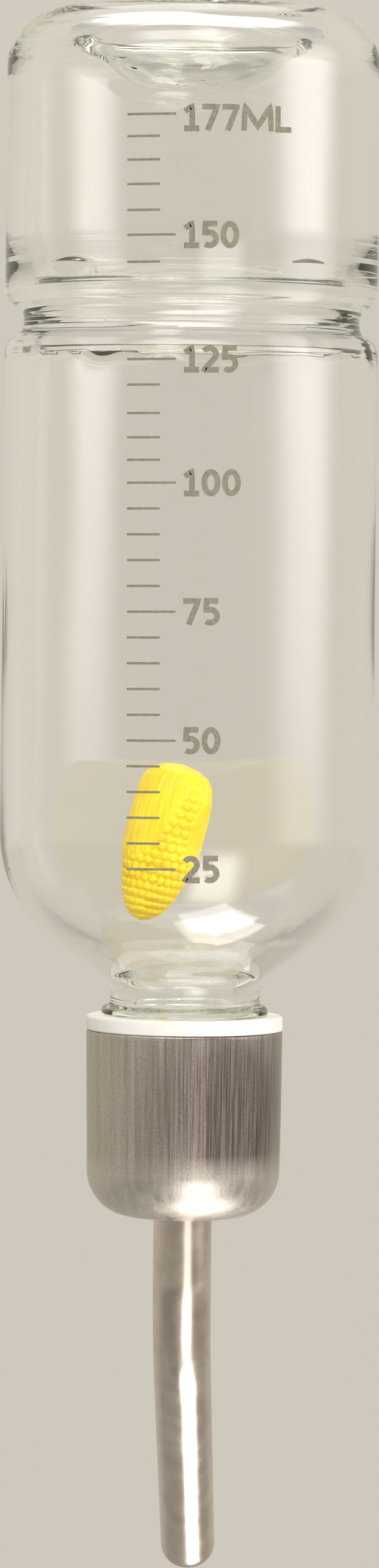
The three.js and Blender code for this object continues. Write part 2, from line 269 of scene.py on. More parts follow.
# %% Glass body: sizes
glass_low, glass_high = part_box("glass_bottle")
BODY_R = glass_high.x / MM
BASE_Z = glass_high.z / MM
LIP_Z = glass_low.z / MM
WALL = 2.5
INNER_R = BODY_R - WALL
HEEL_R, INNER_HEEL_R, INNER_HEEL_Z = 7.5, 5.5, 33
PUSH_UP_R, PUSH_UP_DEPTH, DOME_DEPTH = 16, 8.2, 8
GROOVE_R, GROOVE_FLOOR, GROOVE_EDGE_R = 22.1, 1.75, 2.5
GROOVE_FILLET_R, GROOVE_FILLET_Z, GROOVE_LEAN_DEG = 1.8, 0.35, 65.3
RIDGE_CREST_Z, RIDGE_UP, RIDGE_DOWN, RIDGE_RISE = 1, 11, 6, 1.6
SHOULDER_Z, SHOULDER_R, SHOULDER_DEG = -67.5, 17.7, 55
NECK_R, NECK_FILLET, BORE_R, BORE_FILLET = 9.8, 2.5, 6.9, 5
BEAD_R, BEAD_LOW, BEAD_HEIGHT, FINISH_R, LIP_ROUND = 10.93, -91.35, 1.4, 9.4, 0.5
GLASS_SPACING, GLASS_CLOSEST = 1.2, 0.24
SOFTENED_REACH, SOFTENINGS = 6, 4
print(f"body {2 * BODY_R:.1f} mm across, {BASE_Z - LIP_Z:.1f} mm from base to lip")

# %% Glass body: profile
def necked_in(thickness, wall_r, fillet):
    """Shoulder arc, slanted line and fillet into a straight neck. thickness is 0 outside and the wall's inside."""
    start = arc(BODY_R - SHOULDER_R, SHOULDER_Z, SHOULDER_R - thickness, 0, -SHOULDER_DEG, 28)
    across = math.radians(SHOULDER_DEG)
    slope = (start[-1, 0] - wall_r - fillet * (1 - math.cos(across))) / math.sin(across)
    fillet_z = start[-1, 1] - slope * math.cos(across) - fillet * math.sin(across)
    return np.concatenate([start, arc(wall_r + fillet, fillet_z, fillet, 180 - SHOULDER_DEG, 180, 12)])


def groove_half():
    """The groove's upper half, from its floor up to the body wall, with the floor's corner softened."""
    edge = arc(GROOVE_R, GROOVE_FLOOR + GROOVE_EDGE_R, GROOVE_EDGE_R, -GROOVE_LEAN_DEG, 0, 14)
    floor = arc(GROOVE_R + GROOVE_FILLET_R, GROOVE_FILLET_Z, GROOVE_FILLET_R, 180, 180 - GROOVE_LEAN_DEG, 12)
    return np.concatenate([[[GROOVE_R, 0]], floor, edge])


def soft_step(value):
    """0 below 0, 1 above 1, and a smooth 3v^2 - 2v^3 between."""
    v = np.clip(value, 0, 1)
    return v * v * (3 - 2 * v)


def glass_profile():
    """Down the inside from the middle of the base to the lip, then up the outside to the middle of the base.
    By the groove the line is averaged with its neighbours a few times, as glass flows soft round a mould's edge."""
    t = np.linspace(0, 1, 32)
    domed = (1 - t**4) ** 2
    dome = np.stack([(INNER_R - INNER_HEEL_R) * t, INNER_HEEL_Z + INNER_HEEL_R - DOME_DEPTH * domed], axis=1)
    u = np.linspace(1, -1, 48)
    z = RIDGE_CREST_Z + np.where(u > 0, RIDGE_UP, RIDGE_DOWN) * u
    ridge = np.stack([INNER_R - RIDGE_RISE / 2 * (1 + np.cos(np.pi * u)), z], axis=1)
    inner_heel = arc(INNER_R - INNER_HEEL_R, INNER_HEEL_Z, INNER_HEEL_R, 90, 0)
    inside = [dome, inner_heel, ridge, necked_in(WALL, BORE_R, BORE_FILLET)]
    lip = [
        arc(BORE_R + LIP_ROUND, LIP_Z + LIP_ROUND, LIP_ROUND, 180, 270, 6),
        arc(FINISH_R - LIP_ROUND, LIP_Z + LIP_ROUND, LIP_ROUND, -90, 0, 6),
    ]
    top = BEAD_LOW + BEAD_HEIGHT
    bead = [
        [[FINISH_R, BEAD_LOW]],
        arc(BEAD_R - 0.25, BEAD_LOW + 0.25, 0.25, -90, 0, 6),
        arc(BEAD_R - 0.6, BEAD_LOW + 0.55, 0.6, 0, 50, 6),
        arc(NECK_R + 0.5, top + 0.2, 0.4, 230, 180, 6),
    ]
    push_up = np.stack([PUSH_UP_R * t, BASE_Z - PUSH_UP_DEPTH * domed], axis=1)[::-1]
    groove = groove_half()
    outside = [
        *bead,
        necked_in(0, NECK_R, NECK_FILLET)[::-1],
        (groove * [1, -1])[::-1],
        groove,
        arc(BODY_R - HEEL_R, BASE_Z - HEEL_R, HEEL_R, 0, 90, 20),
        push_up,
    ]
    profile = refined(np.concatenate([*inside, *lip, *outside]), GLASS_SPACING, GLASS_CLOSEST)
    by_groove = np.abs(profile[1:-1, 1]) < SOFTENED_REACH
    for _ in range(SOFTENINGS):
        middle = (profile[:-2, 0] + 2 * profile[1:-1, 0] + profile[2:, 0]) / 4
        profile[1:-1, 0] = np.where(by_groove, middle, profile[1:-1, 0])
    return profile

# %% Screw thread
THREAD_PITCH, THREAD_START, THREAD_ROOT, THREAD_CREST = 3.2, -100.6, 1.5, 0.7
print(f"thread pitch {THREAD_PITCH} mm")


def thread_height(angle, z, start, turns):
    """How far up a thread's flank each point is, 0 to 1. The helix rises one pitch a turn and fades at both ends."""
    height = np.zeros(np.broadcast(angle, z).shape)
    for turn in range(math.ceil(turns)):
        along = angle / (2 * np.pi) + turn
        off = np.abs(z - start - THREAD_PITCH * along)
        flank = np.clip((THREAD_ROOT / 2 - off) / ((THREAD_ROOT - THREAD_CREST) / 2), 0, 1)
        fade = np.clip(12 * np.minimum(along, turns - along), 0, 1)
        height = np.maximum(height, flank * fade)
    return height

# %% [markdown]
# The swell is a sum: the thread, slow waves inside, much fainter ones outside, and the small marks. The mould's two
# halves left a fine seam on each side. Inside, the cooling glass puckered into short wrinkles at the heel and
# ripples behind the groove's lower edge, and left two lens-shaped thick spots just above the groove.

# %% Glass body: mesh
SEAM_ANGLES = np.radians([-49, 131])
WRINKLE_ANGLES = np.radians([-146, -34, 140, 30])
LENS_ANGLES, LENS_HALF_ANGLE = np.radians([-135, -48]), 3.2 / 22
WRINKLE_Z, RIPPLE_Z, LENS_Z = 35.0, -4, 6.8


def angle_gap(a, b):
    """The smaller angle between two directions."""
    return np.abs((a - b + np.pi) % (2 * np.pi) - np.pi)


def r_outside(z):
    """The outer surface's radius at a height, on the shoulder and below."""
    depth = np.clip(SHOULDER_Z - z, 0, SHOULDER_R * 0.82)
    return BODY_R - SHOULDER_R + np.sqrt(SHOULDER_R**2 - depth**2)


def bell(off, width):
    """exp(-(off / width)^2): 1 in the middle, fading to nothing about two widths away."""
    return np.exp(-((off / width) ** 2))


def glass_swell(a, r, z):
    """Millimetres to move each point outwards: thread, waves and small marks, all but the thread fading out on the
    axis. A point is on the inside where its radius is clearly less than the outer surface's."""
    inner_limit = np.where(z < -66, 0.93 * r_outside(z), INNER_R + 0.4)
    inside = (r < INNER_R + 0.4) & (z > LIP_Z + LIP_ROUND) & (r < inner_limit)
    waves = 0.050 * np.sin(2 * a + 0.7 + z / 18) + 0.040 * np.sin(3 * a - z / 11 + 2.1)
    waves = waves + 0.07 * bell(z - RIPPLE_Z, 1.4) * (np.sin(9 * a + 1) + 0.6 * np.sin(23 * a))
    waves = waves + 0.022 * np.sin(5 * a + z / 5.5) + 0.012 * np.sin(9 * a - z / 7 + 1)
    mould = 0.008 * np.sin(4 * a + z / 14) + 0.005 * np.sin(11 * a - z / 9)
    seam = sum(0.03 * bell(angle_gap(a, s) * BODY_R, 0.7) for s in SEAM_ANGLES)
    wrinkle_zone = sum(bell(angle_gap(a, w), 0.16) for w in WRINKLE_ANGLES)
    wrinkle = wrinkle_zone * np.sin(z * 5.2 + 1.6 * np.sin(7 * a)) * bell(z - WRINKLE_Z, 2.6)
    flat = ((z - LENS_Z) / 0.9) ** 2
    lens = sum(np.exp(-(((angle_gap(a, m) / LENS_HALF_ANGLE) ** 2 + flat) ** 2)) for m in LENS_ANGLES)
    thread = 0.95 * thread_height(a, z, THREAD_START, 1.5) * (np.abs(r - FINISH_R) < 0.05)
    body = np.where(inside, waves + 0.055 * wrinkle + 0.12 * lens, mould + seam * (r > 18))
    return body * np.clip(r / 6, 0, 1) + thread


GLASS_SIDES = 180
glass_line = glass_profile()
glass_grid = turned(glass_line, GLASS_SIDES, glass_swell)

glass = finish_named("clear_glass", base_color=(1, 1, 1, 1), roughness=0.0, ior=1.5, transmission_weight=1.0)
tint = add_node(glass, "ShaderNodeVolumeAbsorption", {"Color": (0.62, 0.76, 0.2, 1), "Density": 7.0})
glass_out = glass.node_tree.nodes["Material Output"]
glass.node_tree.links.new(tint.outputs["Volume"], glass_out.inputs["Volume"])
shadow_ray = add_node(glass, "ShaderNodeLightPath").outputs["Is Shadow Ray"]
see_through = add_node(glass, "ShaderNodeBsdfTransparent", {"Color": (0.97, 0.975, 0.96, 1)}).outputs["BSDF"]
clear = glass.node_tree.nodes["Principled BSDF"].outputs["BSDF"]
pass_light = add_node(glass, "ShaderNodeMixShader", {0: shadow_ray, 1: clear, 2: see_through})
glass.node_tree.links.new(pass_light.outputs["Shader"], glass_out.inputs["Surface"])

piece_of(
    "bottle_glass",
    [(glass_grid, grid_faces(len(glass_line), GLASS_SIDES))],
    glass, "bottle", ["glass_bottle"],
)

# %% [markdown]
# ## The printed scale
#
# The scale is a screen print: a skin of grey ink on the front of the glass. It could be a picture on the surface, but
# a print this coarse has edges that catch the light, and the mesh should carry it, so each mark is a thin
# closed ribbon of ink. A tick is a straight ribbon. A figure is a ribbon carried along the stroke that a sign
# writer's brush would take, which needs a few lines and arcs and no font. The ribbons are made flat, turned by the
# half degree that the print sits off level, and then rolled onto the glass.

# %% Ribbons of ink
INK_RISE, INK_SINK, MITRE_LIMIT = 0.035, 0.02, 1.35
PRINT_TURN = math.radians(0.53)


def ribbon(points, width, closed=False):
    """Left and right edges of a stroke: each point plus and minus half a width along the corner's mitre, which is
    cut short at a sharp corner."""
    if closed:
        step = np.roll(points, -1, axis=0) - points
    else:
        step = np.diff(points, axis=0)
    step = step / np.hypot(*step.T)[:, None]
    side = np.stack([-step[:, 1], step[:, 0]], axis=1)
    if closed:
        before, after = np.roll(side, 1, axis=0), side
    else:
        before, after = np.concatenate([side[:1], side]), np.concatenate([side, side[-1:]])
    mitre = (before + after) / (1 + np.sum(before * after, axis=1))[:, None]
    long = np.hypot(*mitre.T)[:, None]
    mitre = mitre * np.minimum(1, MITRE_LIMIT / long) * width / 2
    return points + mitre, points - mitre


def rolled(x, z, rise):
    """Flat (x, z), turned by the print's half degree, laid on the glass: the angle is x over the radius."""
    across = x * math.cos(PRINT_TURN) - z * math.sin(PRINT_TURN)
    up = z * math.cos(PRINT_TURN) + x * math.sin(PRINT_TURN)
    angle = -np.pi / 2 + across / BODY_R
    return np.stack([(BODY_R + rise) * np.cos(angle), (BODY_R + rise) * np.sin(angle), up], axis=-1)


def inked(points, width, closed=False):
    """A closed ribbon of ink: a rectangle carried along the stroke, with a face on each open end."""
    left, right = ribbon(points, width, closed)
    top = INK_RISE + 0 * left[:, 0]
    edges = [(left, top), (left, top - INK_RISE - INK_SINK), (right, top - INK_RISE - INK_SINK), (right, top)]
    grid = np.stack([rolled(edge[:, 0], edge[:, 1], rise) for edge, rise in edges], axis=1)
    faces = grid_faces(len(points), 4, wrap_rows=closed)
    if not closed:
        last = 4 * (len(points) - 1)
        faces = np.concatenate([faces, [[3, 2, 1, 0]], [[last, last + 1, last + 2, last + 3]]])
    return grid, faces

# %% Scale ticks
SCALE = {25: -71.06, 50: -54.55, 75: -38.01, 100: -21.45, 125: -5.57, 150: 10.38, 177: 25.88}
BETWEEN = {100: (0.185, 0.367, 0.563, 0.793), 125: (0.783,), 150: (0.206, 0.421, 0.623, 0.818)}
TICK_LEFT, TICK_LONG, TICK_SHORT, TICK_WIDTH = -8.41, -2.01, -4.05, 0.31


def tick(z, right):
    """One straight ribbon at a height, with thirteen points along it so that it follows the glass."""
    x = np.linspace(TICK_LEFT, right, 13)
    return inked(np.stack([x, 0 * x + z], axis=1), TICK_WIDTH)


marks = [tick(z, TICK_LONG) for z in SCALE.values()]
volumes = list(SCALE)
for low, high in zip(volumes, volumes[1:]):
    for part in BETWEEN.get(low, (0.2, 0.4, 0.6, 0.8)):
        marks.append(tick(SCALE[low] + part * (SCALE[high] - SCALE[low]), TICK_SHORT))

ink = finish_named("scale_ink", roughness=0.55, ior=1.45)
blotch = grain(ink, (2600, 2600, 2600), detail=3)
to_shader(ink, "Base Color", steps_of(ink, blotch, (0.35, (0.19, 0.178, 0.135)), (0.7, (0.27, 0.255, 0.2))))
bumped(ink, blotch, 0.00003)
piece_of("scale_ticks", marks, ink, "bottle")

# %% Figures and letters
FIGURE_HEIGHT, STROKE, TEXT_LEFT, LETTER_GAP = 3.3, 0.225, -1.04, 0.12


def line(*corners):
    """Straight runs between corners, in five steps each."""
    return np.concatenate([np.linspace(a, b, 6) for a, b in zip(corners, corners[1:])])


def curve(x, z, rx, rz, start_deg, end_deg, steps=20):
    """Part of an ellipse round (x, z)."""
    return arc(0, 0, 1, start_deg, end_deg, steps) * [rx, rz] + [x, z]


FIGURES = {
    "1": (0.61, [line((0.05, 0.74), (0.335, 0.93), (0.335, 0.15)), line((0.02, 0.075), (0.61, 0.075))]),
    "2": (0.65, [np.concatenate([
        curve(0.29, 0.68, 0.25, 0.24, 150, -25),
        line((0.47, 0.51), (0.09, 0.09)),
        line((0.12, 0.075), (0.65, 0.075)),
    ])]),
    "5": (0.62, [np.concatenate([
        line((0.59, 0.925), (0.13, 0.925)),
        line((0.125, 0.88), (0.11, 0.57)),
        curve(0.27, 0.33, 0.27, 0.255, 112, -128),
    ])]),
    "7": (0.66, [line((0.0, 0.92), (0.585, 0.92), (0.21, 0.0))]),
    "0": (0.69, [curve(0.345, 0.5, 0.26, 0.42, 0, 349, 31)]),
    "M": (1.3, [line((0.085, 0.0), (0.125, 0.97), (0.65, 0.16), (1.175, 0.97), (1.215, 0.0))]),
    "L": (0.68, [line((0.085, 1.0), (0.085, 0.075), (0.68, 0.075))]),
}


def written(text, x, z):
    """The ink for a text whose left edge is at x and whose middle is at height z."""
    strokes = []
    for letter in text:
        width, paths = FIGURES[letter]
        for path in paths:
            keep = np.concatenate([[True], np.hypot(*np.diff(path, axis=0).T) > 1e-6])
            flat = path[keep] * FIGURE_HEIGHT + [x, z - FIGURE_HEIGHT / 2]
            strokes.append(inked(flat, STROKE * FIGURE_HEIGHT, closed=letter == "0"))
        x += (width + LETTER_GAP) * FIGURE_HEIGHT
    return strokes


figures = []
for volume, z in SCALE.items():
    last = volume == volumes[-1]
    figures += written(f"{volume}ML" if last else str(volume), TEXT_LEFT, z - (0.5 if last else 0.0))
piece_of("scale_numbers", figures, ink, "bottle")

# %% [markdown]
# ## The corn cob float
#
# The float is a hollow yellow moulding in two halves, glued along a seam that faces sideways. A sculptor would carve
# it; here its relief is a height above a plain bullet shape. Two smooth husk leaves cover the upper end, with fine
# folds running down them, and rows of kernels show between and below. A kernel is a rounded bump in a staggered
# grid round the cob, and towards the tip the rows close up into rings.

# %% Float: shape
FLOAT_LENGTH, FLOAT_R, FLOAT_WALL, SEAM_GAP = 23.2, 5.1, 0.8, 0.15
FLOAT_CENTRE, FLOAT_LEAN_DEG = (-3.4, 11.7, -69.8), 14.6
KERNELS_ROUND, KERNEL_PITCH, KERNEL_RISE, HUSK_RISE = 24, 1.25, 0.42, 0.16
# Shares of the length from the tip, and of the full radius there.
BULLET = np.array([
    [0, 0], [0.015, 0.17], [0.04, 0.3], [0.1, 0.49], [0.2, 0.68], [0.3, 0.79], [0.37, 0.87], [0.43, 0.96],
    [0.55, 1.0], [0.7, 0.99], [0.82, 0.95], [0.9, 0.86], [0.95, 0.7], [0.985, 0.4], [1, 0],
])
# Where the two husk leaves end, across the cob (-1 left, 1 right), for shares of the length from the top.
LEFT_LEAF = np.array([
    [0.1, 0.5], [0.143, 0.25], [0.233, 0.12], [0.338, -0.05], [0.444, -0.2], [0.541, -0.4], [0.64, -1.1],
])
RIGHT_LEAF = np.array([[0.1, 0.6], [0.165, 0.79], [0.38, 0.68], [0.52, 0.7], [0.57, 0.85], [0.61, 1.1]])


def cob_height(t, angle):
    """Relief in mm, for a share t of the length from the tip and an angle round the cob."""
    across, from_top = np.cos(angle), 1 - t
    left = np.interp(from_top, *LEFT_LEAF.T)
    right = np.interp(from_top, *RIGHT_LEAF.T)
    bare = soft_step((across - left) / 0.16) * soft_step((right - across) / 0.16) * soft_step((from_top - 0.1) / 0.06)
    row = t * FLOAT_LENGTH / KERNEL_PITCH
    column = KERNELS_ROUND * angle / (2 * np.pi) + 0.5 * (np.floor(row) % 2)
    off_row, off_column = 2 * (row % 1) - 1, 2 * (column % 1) - 1
    bump = np.sqrt(np.clip(1 - off_row**2 - off_column**2, 0, 1))
    rings = np.abs(np.sin(np.pi * row)) ** 0.8
    near_tip = soft_step((0.3 - t) / 0.14)
    kernels = KERNEL_RISE * (bump * (1 - 0.75 * near_tip) + 0.75 * rings * near_tip) * soft_step(t / 0.06)
    folds = 0.05 * np.sin(24 * angle + 9 * from_top) + 0.04 * np.sin(41 * angle - 14 * from_top)
    husk = HUSK_RISE + folds * soft_step(from_top / 0.15)
    return bare * kernels + (1 - bare) * husk * soft_step((1 - t) / 0.04)

# %% Float: halves
lean = math.radians(FLOAT_LEAN_DEG)
LEANING = np.array([[math.cos(lean), 0, math.sin(lean)], [0, 1, 0], [-math.sin(lean), 0, math.cos(lean)]])


def cob_half(side):
    """A half shell: for each place along the cob, out round half a turn and back inside the wall."""
    smooth = np.linspace(0, 1, 200)
    t = (0.5 - 0.5 * np.cos(np.pi * smooth))[:, None]
    radius = np.interp(t, *BULLET.T) * FLOAT_R
    start = 0 if side > 0 else np.pi
    out = np.linspace(0, np.pi, 110)[None, :] + start
    back = np.linspace(np.pi, 0, 24)[None, :] + start
    skin = radius + cob_height(t, out) * np.clip(radius / 1.2, 0, 1)
    inner = np.maximum(radius - FLOAT_WALL, 0) + 0 * back
    z_skin = FLOAT_LENGTH * (t - 0.5) + 0 * out
    z_inner = (FLOAT_LENGTH - 2 * FLOAT_WALL) * (t - 0.5) + 0 * back
    r = np.concatenate([skin, inner], axis=1)
    a = np.concatenate([out, back], axis=1)
    z = np.concatenate([z_skin, z_inner], axis=1)
    y = r * np.sin(a) + side * SEAM_GAP
    points = np.stack([r * np.cos(a), y, z], axis=2)
    return points @ LEANING.T + FLOAT_CENTRE


yellow = finish_named("cob_yellow", roughness=0.24, ior=1.49, subsurface_weight=0.08, subsurface_scale=0.001)
shade = grain(yellow, (260, 260, 260), detail=4)
to_shader(yellow, "Base Color", steps_of(yellow, shade, (0.3, (0.88, 0.58, 0.003)), (0.62, (0.94, 0.7, 0.007))))
bumped(yellow, grain(yellow, (9000, 9000, 9000)), 0.00001)
for side, name, node in ((-1, "cob_front", "float_front_half"), (1, "cob_back", "float_back_half")):
    half = cob_half(side)
    piece_of(name, [(half, grid_faces(*half.shape[:2]))], yellow, "float", [node])

# %% [markdown]
# ## The screw cap and its seals
#
# The white cap is a plain turned moulding with a flange that stands on the steel cover's rim, an inner thread and a
# hub. Its profile has a small radius on every edge, because a knife-sharp edge never comes out of a mould. Only the
# flange shows until the cap is unscrewed. The gasket and the bushing are turned rings of off-white rubber.

# %% Screw cap
cap_low, cap_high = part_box("screw_cap")
FLANGE_TOP, HUB_LOW, FLANGE_R = cap_high.z / MM, cap_low.z / MM, cap_high.x / MM
FLANGE_THICK, CAP_WALL_R, SKIRT_R, HUB_R, HUB_BORE = 1.95, 10.75, 12, 8.2, 6.7
FLANGE_LOW = FLANGE_TOP - FLANGE_THICK
CAP_FLOOR = LIP_Z - 2
HUB_TOP = CAP_FLOOR - 2.5
CAP_HOLE = 4.05


def rounded_corner(r, z, radius, start_deg):
    """A quarter turn whose square corner would be at (r, z), starting at an angle."""
    middle = math.radians(start_deg + 45)
    centre = (r - radius * np.sign(math.cos(middle)), z - radius * np.sign(math.sin(middle)))
    return arc(*centre, radius, start_deg, start_deg + 90, 6)


def cap_profile():
    """A closed line: hub bore, hub, floor, skirt, flange, inner wall and hole."""
    return refined(np.concatenate([
        [[HUB_BORE, HUB_TOP], [HUB_BORE, HUB_LOW], [HUB_R - 1.2, HUB_LOW], [HUB_R, HUB_LOW + 1.4]],
        [[HUB_R, HUB_TOP - 0.8]],
        [[SKIRT_R - 1.5, HUB_TOP], [SKIRT_R, HUB_TOP + 1.5], [SKIRT_R, FLANGE_LOW]],
        rounded_corner(FLANGE_R, FLANGE_LOW, 0.25, -90),
        rounded_corner(FLANGE_R, FLANGE_TOP, 0.45, 0),
        [[CAP_WALL_R + 0.25, FLANGE_TOP], [CAP_WALL_R, FLANGE_TOP - 0.25], [CAP_WALL_R, CAP_FLOOR]],
        [[CAP_HOLE, CAP_FLOOR], [CAP_HOLE, HUB_TOP], [HUB_BORE, HUB_TOP]],
    ]), 0.35)


def cap_swell(a, r, z):
    """The inner thread, wound half a pitch away from the glass's own."""
    on_wall = (np.abs(r - CAP_WALL_R) < 0.02) & (z > CAP_FLOOR + 0.3)
    return 0.75 * thread_height(a, z, THREAD_START + THREAD_PITCH / 2, 1.25) * on_wall


CAP_SIDES = 168
cap_line = cap_profile()[:-1]
white = finish_named("cap_white", roughness=0.42, ior=1.46, subsurface_weight=0.2, subsurface_scale=0.003)
cloud = grain(white, (300, 300, 300), detail=3)
to_shader(white, "Base Color", steps_of(white, cloud, (0.3, (0.8, 0.785, 0.77)), (0.7, (0.86, 0.85, 0.84))))
bumped(white, grain(white, (7000, 7000, 7000)), 0.000006)
piece_of(
    "screw_cap_white",
    [(turned(cap_line, CAP_SIDES, cap_swell), grid_faces(len(cap_line), CAP_SIDES, wrap_rows=True))],
    white, "cap", ["screw_cap"],
)

# %% Gasket and bushing
rubber = finish_named("pale_rubber", roughness=0.7, ior=1.5)
dust = grain(rubber, (1800, 1800, 1800), detail=4)
to_shader(rubber, "Base Color", steps_of(rubber, dust, (0.35, (0.66, 0.64, 0.58)), (0.75, (0.74, 0.72, 0.66))))
bumped(rubber, dust, 0.00002)


def rubber_ring(name, node, body, inner, sides=96):
    """A ring with rounded edges that fills the CAD node's box, with its hole's radius given."""
    low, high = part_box(node)
    outer, bottom, top = high.x / MM, low.z / MM, high.z / MM
    corners = [(inner, bottom, 180), (outer, bottom, 270), (outer, top, 0), (inner, top, 90)]
    profile = refined(np.concatenate([rounded_corner(r, z, 0.3, start) for r, z, start in corners]), 0.8)
    cells = grid_faces(len(profile), sides, wrap_rows=True)
    piece_of(name, [(turned(profile, sides), cells)], rubber, body, [node])


TUBE_HOLE_R = 3.96
rubber_ring("lip_gasket", "mouth_gasket", "seal", TUBE_HOLE_R)
rubber_ring("hub_bushing", "tube_bushing", "cap", TUBE_HOLE_R)

# %% [markdown]
# ## The drawn steel cover
#
# A press drew this cup from flat steel, which left fine streaks along its sides, a large soft radius at the bottom and
# a rim that is not quite true. The streaks are the material's business: a noise squeezed round the cup and stretched
# along it darkens the metal and roughens it in lines. The right of the front has a darker, browner patch painted into
# the colour, which is a painted dark reflection, and towards the bottom corner the colour turns lighter. The geometry
# carries the radius, the taper and the rim's slight waviness.

# %% Steel cover
cover_low, cover_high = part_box("steel_cover")
COVER_BOTTOM, COVER_RIM, COVER_R = cover_low.z / MM, cover_high.z / MM, cover_high.x / MM
COVER_LOW_R, COVER_CORNER, COVER_WALL, COVER_HOLE = 12.72, 6.1, 0.6, 4.15


def cover_profile():
    """Out along the bottom, round the corner, up the tapered side, over the rim and back down inside."""
    r, z = COVER_LOW_R - COVER_CORNER, COVER_BOTTOM + COVER_CORNER
    return refined(np.concatenate([
        arc(COVER_HOLE + 0.3, COVER_BOTTOM + 0.3, 0.3, 180, 270, 6),
        arc(r, z, COVER_CORNER, -90, 0, 30),
        arc(COVER_R - 0.3, COVER_RIM - 0.3, 0.3, 0, 180, 10),
        arc(r, z, COVER_CORNER - COVER_WALL, 0, -90, 24),
        [[COVER_HOLE, COVER_BOTTOM + COVER_WALL]],
    ]), 0.7)


def cover_swell(a, r, z):
    """Slow dents of a few hundredths of a millimetre, and more of them close to the rim."""
    near_rim = np.clip((z - COVER_RIM + 3) / 3, 0, 1)
    slow = 0.012 * np.sin(3 * a + z / 6) + 0.008 * np.sin(7 * a - z / 4)
    return slow - near_rim * 0.02 * (1 + np.sin(5 * a + 1) * np.sin(13 * a))


steel = finish_named("cover_steel", metallic=1.0)
fine = grain(steel, (3600, 3600, 60), detail=4, roughness=0.7)
broad = grain(steel, (900, 900, 16), detail=3)
speck = grain(steel, (9000, 9000, 6000), detail=2)
place = add_node(steel, "ShaderNodeTexCoord").outputs["Object"]
# A painted dark reflection: a sphere of darker, browner colour on the front right of the cover's side, standing in for
# the dim surroundings that the steel mirrors there.
dark_reflection_spot = {"Vector": place, "Location": (-0.47, 0.68, 5.35), "Scale": (75, 60, 52)}
painted_reflection_mask = add_node(steel, "ShaderNodeMapping", dark_reflection_spot).outputs["Vector"]
painted_reflection_mask = add_node(steel, "ShaderNodeTexGradient", {"Vector": painted_reflection_mask}, gradient_type="SPHERICAL").outputs["Fac"]
painted_reflection_mask = ranged(steel, painted_reflection_mask, 0.0, 0.6, 0.0, 1.0)
streaks = steps_of(steel, fine, (0.3, (0.46, 0.43, 0.385)), (0.52, (0.55, 0.52, 0.47)), (0.75, (0.63, 0.6, 0.55)))
wide = steps_of(steel, broad, (0.35, (0.84, 0.82, 0.8)), (0.65, (1.0, 1.0, 1.0)))
metal = mixed(steel, 1.0, streaks, wide, "MULTIPLY")
# Dark brown colour of the painted reflection, mixed in over that sphere.
painted_dark_reflection = steps_of(steel, fine, (0.35, (0.1, 0.082, 0.078)), (0.6, (0.25, 0.215, 0.205)))
metal = mixed(steel, painted_reflection_mask, metal, painted_dark_reflection)
# The colour turns lighter towards the bottom corner, over the lowest nine millimetres of the cover.
height = add_node(steel, "ShaderNodeSeparateXYZ", {"Vector": place}).outputs["Z"]
lighter_near_bottom = ranged(steel, height, (COVER_BOTTOM + 5) * MM, (COVER_BOTTOM + 9) * MM, 0.85, 0.0)
metal = mixed(steel, lighter_near_bottom, metal, (0.62, 0.59, 0.545))
specks = steps_of(steel, speck, (0.4, (0.25, 0.23, 0.21)), (0.6, (0.75, 0.71, 0.67)))
metal = mixed(steel, 0.3, metal, specks, "OVERLAY")
to_shader(steel, "Base Color", metal)
to_shader(steel, "Roughness", ranged(steel, broad, 0.3, 0.7, 0.34, 0.5))
bumped(steel, speck, 0.000012, bumped(steel, fine, 0.00002))

COVER_SIDES = 192
cover_line = cover_profile()
piece_of(
    "cap_cover_steel",
    [(turned(cover_line, COVER_SIDES, cover_swell), grid_faces(len(cover_line), COVER_SIDES, wrap_rows=True))],
    steel, "cap", ["steel_cover"],
)

# %% [markdown]
# ## The drinking tube
#
# The tube is a profile along a path. Its path goes straight down, round a bend of 20 mm radius and on at 41 degrees,
# and from the bend on it narrows evenly, by a fifth of a millimetre in radius. Its profile is written as if the tube
# were straight, with the distance along it in place of the height, so the same wall works for the flare inside the
# neck, the bend and the rolled-in tip. Two punched dents near the tip keep the valve balls in; they are a swell too.

# %% Tube: path
TUBE_R, TUBE_WALL, FLARE_R, FLARE = 3.85, 0.6, 5.6, 0.7
TUBE_TOP, BEND_START, BEND_R, BEND_DEG, AZIMUTH_DEG = LIP_Z + FLARE, -127, 20, 41, 2.4
TIP_R, TIP_ROUND, MOUTH_R, STRAIGHT_END = 3.65, 2.6, 2.45, 36
bend_at = TUBE_TOP - BEND_START
bend = math.radians(BEND_DEG)
tube_length = bend_at + BEND_R * bend + STRAIGHT_END
print(f"tube {tube_length:.1f} mm along its centreline")


def along_path(x, y, s):
    """Points (x, y) off the centreline at a distance s: turned by the bend so far, then by the azimuth."""
    turn = np.clip((s - bend_at) / BEND_R, 0, bend)
    past = np.maximum(0, s - bend_at - BEND_R * bend)
    forward = BEND_R * (1 - np.cos(turn)) + past * np.sin(turn) + y * np.cos(turn)
    height = TUBE_TOP - np.minimum(s, bend_at) - BEND_R * np.sin(turn) - past * np.cos(turn) + y * np.sin(turn)
    side = math.radians(-AZIMUTH_DEG)
    return np.stack(
        [x * math.cos(side) - forward * math.sin(side), x * math.sin(side) + forward * math.cos(side), height], axis=-1
    )

